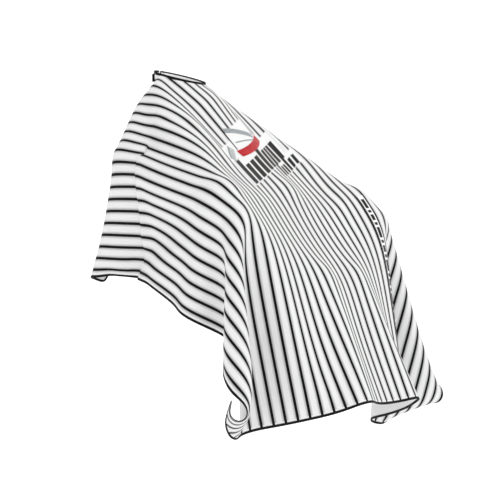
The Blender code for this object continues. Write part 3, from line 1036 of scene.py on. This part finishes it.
class Nodes:
    """Short ways to build a material's nodes."""

    def __init__(self, name, colour=(0.8, 0.8, 0.8, 1), roughness=0.6, metallic=0.0, sheen=0.0,
                 specular=0.5):
        self.material = bpy.data.materials.new(name)
        self.material.use_nodes = True
        self.tree = self.material.node_tree
        self.shader = self.tree.nodes["Principled BSDF"]
        self.set("Base Color", colour)
        self.set("Roughness", roughness)
        self.set("Metallic", metallic)
        self.set("Sheen Weight", sheen)
        self.set("Specular IOR Level", specular)

    def set(self, name, value):
        self.link(value, self.shader.inputs[name])

    def link(self, source, target):
        if isinstance(source, Wire):
            self.tree.links.new(source.socket, target)
        else:
            target.default_value = source

    def node(self, kind, *values):
        """A new node of a kind, with values or wires on its first inputs."""
        node = self.tree.nodes.new("ShaderNode" + kind)
        for value, socket in zip(values, node.inputs):
            self.link(value, socket)
        return node

    def uv(self, layer):
        node = self.node("UVMap")
        node.uv_map = layer
        return Wire(self, node.outputs["UV"])

    def place(self):
        return Wire(self, self.node("TexCoord").outputs["Object"])

    def split(self, vector):
        return [Wire(self, socket) for socket in self.node("SeparateXYZ", vector).outputs]

    def join(self, x, y):
        return Wire(self, self.node("CombineXYZ", x, y).outputs[0])

    def math(self, kind, *values):
        node = self.node("Math", *values)
        node.operation = kind
        return Wire(self, node.outputs[0])

    def ramp(self, value, low, high, to_low=0.0, to_high=1.0):
        """value from low to high becomes to_low to to_high, eased."""
        node = self.node("MapRange", value, low, high, to_low, to_high)
        node.interpolation_type = "SMOOTHSTEP"
        return Wire(self, node.outputs[0])

    def noise(self, vector, scale, detail=3.0, roughness=0.5):
        node = self.node("TexNoise")
        wanted = {"Vector": vector, "Scale": scale, "Detail": detail, "Roughness": roughness}
        for key, value in wanted.items():
            self.link(value, node.inputs[key])
        return Wire(self, node.outputs["Fac"])

    def grey(self, value):
        return Wire(self, self.node("CombineColor", value, value, value).outputs[0])

    def mix(self, share, first, second):
        node = self.node("Mix")
        node.data_type = "RGBA"
        for key, value in (("Factor", share), ("A", first), ("B", second)):
            sockets = [s for s in node.inputs if s.name == key and s.enabled]
            self.link(value, sockets[0])
        return Wire(self, [s for s in node.outputs if s.enabled][0])

    def bump(self, height, strength, distance):
        node = self.node("Bump")
        for key, value in (("Strength", strength), ("Distance", distance), ("Height", height)):
            self.link(value, node.inputs[key])
        self.tree.links.new(node.outputs[0], self.shader.inputs["Normal"])

    def weave(self, u, v):
        """Height of a plain weave."""
        turns = 2 * pi / WEAVE_PITCH
        return self.math("SINE", u * turns) * self.math("SINE", v * turns)


WEAVE_PITCH = 0.0007
FINE_LINE_PITCH = 0.0042
RIB_PITCH = 0.0011
THREAD_TWIST = 0.0005
BAND_NEAR, BAND_FAR = 0.0032, 0.0110
BAND_TONES = (0.36, 0.70)
GROUND_TONE = 0.74
EDGE_NEAR, EDGE_FAR, EDGE_TONE = 0.008, 0.014, 0.72
STRIPE_SOFT = 0.0003
PRINT_SOFT = 0.0012
BLACK_INK = ((0.003, 0.003, 0.003, 1), (0.009, 0.009, 0.009, 1))
# Where the emblem's white ground covers the stripes, on its slanted axes: low corner, high corner.
PRINT_GROUND = (
    ((-0.090, -0.066), (0.070, -0.008)),
    ((-0.185, -0.045), (-0.095, 0.004)),
    ((-0.118, -0.014), (0.118, 0.024)),
    ((-0.166, 0.004), (0.182, 0.089)),
    ((0.054, 0.082), (0.224, 0.127)),
)


def boxed(n, u, v, low, high):
    """1 inside the box of places from low to high, fading out at its sides."""
    share = None
    for value, first, last in ((u, low[0], high[0]), (v, low[1], high[1])):
        for edge, soft in ((first, PRINT_SOFT), (last, -PRINT_SOFT)):
            inside = n.ramp(value, edge - soft, edge + soft)
            share = inside if share is None else share * inside
    return share


def print_ground(n, u, v):
    """1 where the emblem's white ground covers the stripes."""
    from_u, from_v = u - EMBLEM_MIDDLE[0], v - EMBLEM_MIDDLE[1]
    c, s = cos(EMBLEM_TURN), sin(EMBLEM_TURN)
    y = from_v * c - from_u * s
    x = from_u * c + from_v * s + y * EMBLEM_SLANT
    clear = None
    for low, high in PRINT_GROUND:
        share = boxed(n, x, y, low, high)
        clear = share if clear is None else n.math("MAXIMUM", clear, share)
    return clear


def striped_material():
    """White polyester with black stripes, each between two grey bands, and fine lines along it."""
    n = Nodes("striped_polyester", roughness=0.75, specular=0.06)
    u, v, _ = n.split(n.uv("flat"))
    turns = n.math("DIVIDE", u + (CLOTH_WIDTH / 2 - FIRST_STRIPE), STRIPE_PITCH)
    off = n.math("ABSOLUTE", n.math("FRACT", turns + 0.5) - 0.5) * STRIPE_PITCH
    streak = n.noise(n.join(u * 420.0, v * 14.0), 1.0, 4.0, 0.6)
    soil = n.noise(n.place(), 9.0)
    lines = n.math("SINE", u * (2 * pi / FINE_LINE_PITCH)) * 0.012
    tone = n.ramp(off, BAND_NEAR, BAND_FAR, *BAND_TONES) + lines
    tone = tone + (streak - 0.5) * 0.10 + (soil - 0.5) * 0.03
    edge = n.math("MINIMUM", CLOTH_WIDTH / 2 - n.math("ABSOLUTE", u), CLOTH_LENGTH - v)
    tone = n.math("MAXIMUM", tone, n.ramp(edge, EDGE_NEAR, EDGE_FAR, EDGE_TONE, 0.0))
    clear = print_ground(n, u, v)
    tone = n.math("MAXIMUM", tone, clear * GROUND_TONE)
    half = STRIPE_WIDTH / 2
    black = (1.0 - n.ramp(off, half - STRIPE_SOFT, half + STRIPE_SOFT)) * (1.0 - clear)
    n.set("Base Color", n.mix(black, n.grey(tone), n.grey(streak * 0.006 + 0.003)))
    n.set("Roughness", n.ramp(streak, 0.2, 0.8, 0.68, 0.82) - black * 0.05)
    n.bump(n.weave(u, v) * 0.4 + streak * 0.5 + black * 0.8, 0.5, 0.00012)
    return n.material


def lining_material():
    """The plain grey back of the cloth."""
    n = Nodes("cloth_back", roughness=0.8, sheen=0.03)
    u, v, _ = n.split(n.uv("flat"))
    streak = n.noise(n.join(u * 300.0, v * 12.0), 1.0)
    n.set("Base Color", n.grey(n.ramp(streak, 0.2, 0.8, 0.64, 0.69)))
    n.bump(n.weave(u, v), 0.4, 0.0001)
    return n.material


def tape_material(name, dark, light, roughness, sheen):
    """Ribbed woven tape: ribs across its length, and a slight change of tone."""
    n = Nodes(name, roughness=roughness, sheen=sheen, specular=0.12)
    along, round_way, _ = n.split(n.uv("tape"))
    ribs = n.math("SINE", along * (2 * pi / RIB_PITCH))
    cross = n.math("SINE", round_way * (2 * pi * 16))
    wear = n.noise(n.place(), 60.0, 4.0)
    n.set("Base Color", n.grey(n.ramp(wear, 0.3, 0.7, dark, light) + ribs * ((light - dark) * 0.25)))
    n.set("Roughness", n.ramp(wear, 0.3, 0.7, roughness - 0.08, roughness + 0.08))
    n.bump(ribs + cross * 0.5, 0.5, 0.00015)
    return n.material


def ink_material(name, colour, darker):
    """Flat heat pressed print: a thin film that shows the weave under it."""
    n = Nodes(name, roughness=0.45, specular=0.15)
    x, _, z = n.split(n.place())
    wear = n.noise(n.place(), 140.0, 4.0)
    n.set("Base Color", n.mix(n.ramp(wear, 0.35, 0.75), colour, darker))
    n.set("Roughness", n.ramp(wear, 0.3, 0.7, 0.38, 0.55))
    n.bump(n.weave(x, z) + wear, 0.3, 0.0001)
    return n.material


def thread_material(name, tone):
    n = Nodes(name, roughness=0.6, sheen=0.05)
    x, y, z = n.split(n.place())
    twist = n.math("SINE", (x + (y + z)) * (2 * pi / THREAD_TWIST))
    n.set("Base Color", n.grey(n.ramp(twist, -1.0, 1.0, tone * 0.8, tone * 1.2)))
    n.bump(twist, 0.4, 0.0001)
    return n.material


def snap_material():
    """Bright nickel with small scuffs."""
    n = Nodes("nickel_plate", (0.62, 0.61, 0.59, 1), 0.22, 1.0)
    scuff = n.noise(n.place(), 900.0, 5.0, 0.7)
    n.set("Base Color", n.mix(n.ramp(scuff, 0.4, 0.8), (0.66, 0.65, 0.63, 1), (0.48, 0.47, 0.45, 1)))
    n.set("Roughness", n.ramp(scuff, 0.35, 0.75, 0.16, 0.38))
    n.bump(scuff, 0.15, 0.00005)
    return n.material


def backdrop_material():
    n = Nodes("pale_backdrop", (0.92, 0.92, 0.92, 1), 0.9, specular=0.0)
    n.set("Emission Color", (1, 1, 1, 1))
    n.set("Emission Strength", 0.30)
    return n.material


def dress(piece, *materials):
    piece.data.materials.clear()
    for material in materials:
        piece.data.materials.append(material)


# --- stage


CAMERA_TURN = radians(29.6)
CAMERA_RISE = radians(-0.7)
CAMERA_DISTANCE = 7.0
METRES_ACROSS = 1.36
NECK_OFF_RIGHT = 0.1904
NECK_OFF_UP = 0.46784
SENSOR_WIDTH = 36.0


def make_camera():
    """Camera at the wearer's right, turned a little to the front, on a long lens."""
    right = Vector((sin(CAMERA_TURN), -cos(CAMERA_TURN), 0))
    level = Vector((-cos(CAMERA_TURN), -sin(CAMERA_TURN), 0))
    back = level * cos(CAMERA_RISE) + Vector((0, 0, sin(CAMERA_RISE)))
    up = back.cross(right)
    data = bpy.data.cameras.new("camera")
    data.sensor_width = SENSOR_WIDTH
    data.lens = SENSOR_WIDTH * CAMERA_DISTANCE / METRES_ACROSS
    data.clip_end = 60
    camera = bpy.data.objects.new("camera", data)
    bpy.context.scene.collection.objects.link(camera)
    camera.location = right * NECK_OFF_RIGHT - up * NECK_OFF_UP + back * CAMERA_DISTANCE
    camera.rotation_mode = "QUATERNION"
    camera.rotation_quaternion = (-back).to_track_quat("-Z", "Y")
    bpy.context.scene.camera = camera


FLOOR_HEIGHT = cad_low.z - 0.25
STAGE_RADIUS = 9.0
STAGE_CURVE = 2.5


def make_stage():
    """A pale round floor that curves up into a wall."""
    profile = [(0.0, 0.0), (STAGE_RADIUS - STAGE_CURVE, 0.0)]
    profile += [(STAGE_RADIUS - STAGE_CURVE + STAGE_CURVE * sin(a), STAGE_CURVE * (1 - cos(a)))
                for a in (pi / 2 * k / 12 for k in range(1, 13))]
    profile.append((STAGE_RADIUS, 7.0))
    verts, faces = [], []
    segments = 96
    for radius, height in profile:
        for k in range(segments):
            angle = 2 * pi * k / segments
            verts.append((radius * cos(angle), radius * sin(angle), FLOOR_HEIGHT + height))
    for ring in range(len(profile) - 1):
        for k in range(segments):
            a, b = ring * segments + k, ring * segments + (k + 1) % segments
            faces.append((a, b, b + segments, a + segments))
    mesh = bpy.data.meshes.new("backdrop")
    mesh.from_pydata(verts, [], faces)
    mesh.shade_smooth()
    floor = bpy.data.objects.new("backdrop", mesh)
    bpy.context.scene.collection.objects.link(floor)
    mesh.materials.append(backdrop_material())
    floor.visible_shadow = False


def area_light(name, place, aim, size, power):
    data = bpy.data.lights.new(name, "AREA")
    data.shape = "DISK"
    data.size = size
    data.energy = power
    light = bpy.data.objects.new(name, data)
    bpy.context.scene.collection.objects.link(light)
    light.location = place
    light.rotation_mode = "QUATERNION"
    light.rotation_quaternion = (Vector(aim) - Vector(place)).to_track_quat("-Z", "Y")


def make_lights():
    world = bpy.data.worlds.new("soft_studio")
    bpy.context.scene.world = world
    world.use_nodes = True
    back = world.node_tree.nodes["Background"]
    back.inputs["Color"].default_value = (1, 1, 1, 1)
    back.inputs["Strength"].default_value = 0.76
    middle = (0, -0.25, -0.45)
    area_light("key", (-2.0, -4.2, 3.4), middle, 2.2, 34)
    area_light("top", (0.8, -1.2, 3.6), middle, 2.6, 44)
    area_light("rear", (-3.0, 3.0, 1.4), middle, 2.4, 8)
    bpy.context.scene.view_settings.view_transform = "Standard"


# --- the whole


def main():
    make_camera()
    cloth = make_cloth()
    surface = Surface(cloth)
    black_tape = tape_material("black_binding", 0.003, 0.008, 0.70, 0.0)
    white_tape = tape_material("white_tape_weave", 0.74, 0.84, 0.72, 0.1)
    black_thread = thread_material("black_thread", 0.012)
    white_thread = thread_material("white_thread", 0.70)
    metal = snap_material()
    hem, hem_sewn = make_hem(cloth_edge(cloth, surface))
    for piece in [hem, hem_sewn, *make_neck(), *make_closure()]:
        slot = piece["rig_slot"]
        if slot == "snap_metal":
            dress(piece, metal)
        elif "stitches" in piece.name:
            dress(piece, white_thread if slot == "white_tape" else black_thread)
        else:
            dress(piece, white_tape if slot == "white_tape" else black_tape)
    tape, blocks = make_side_tape(surface)
    dress(tape, ink_material("tape_ground", (0.86, 0.86, 0.86, 1), (0.78, 0.78, 0.78, 1)))
    dress(blocks, ink_material("block_ink", *BLACK_INK))
    comb, banner, bars = make_print(surface)
    dress(comb, ink_material("grey_ink", (0.30, 0.33, 0.34, 1), (0.22, 0.24, 0.25, 1)))
    dress(banner, ink_material("red_ink", (0.44, 0.003, 0.008, 1), (0.33, 0.002, 0.006, 1)))
    dress(bars, ink_material("black_ink", *BLACK_INK))
    dress(cloth, striped_material(), lining_material())
    solid = cloth.modifiers.new("Solidify", "SOLIDIFY")
    solid.thickness = CLOTH_THICK
    solid.offset = -1
    solid.material_offset = 1
    solid.material_offset_rim = 0
    apply_modifiers(cloth)
    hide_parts("main_panel")
    make_stage()
    make_lights()


main()
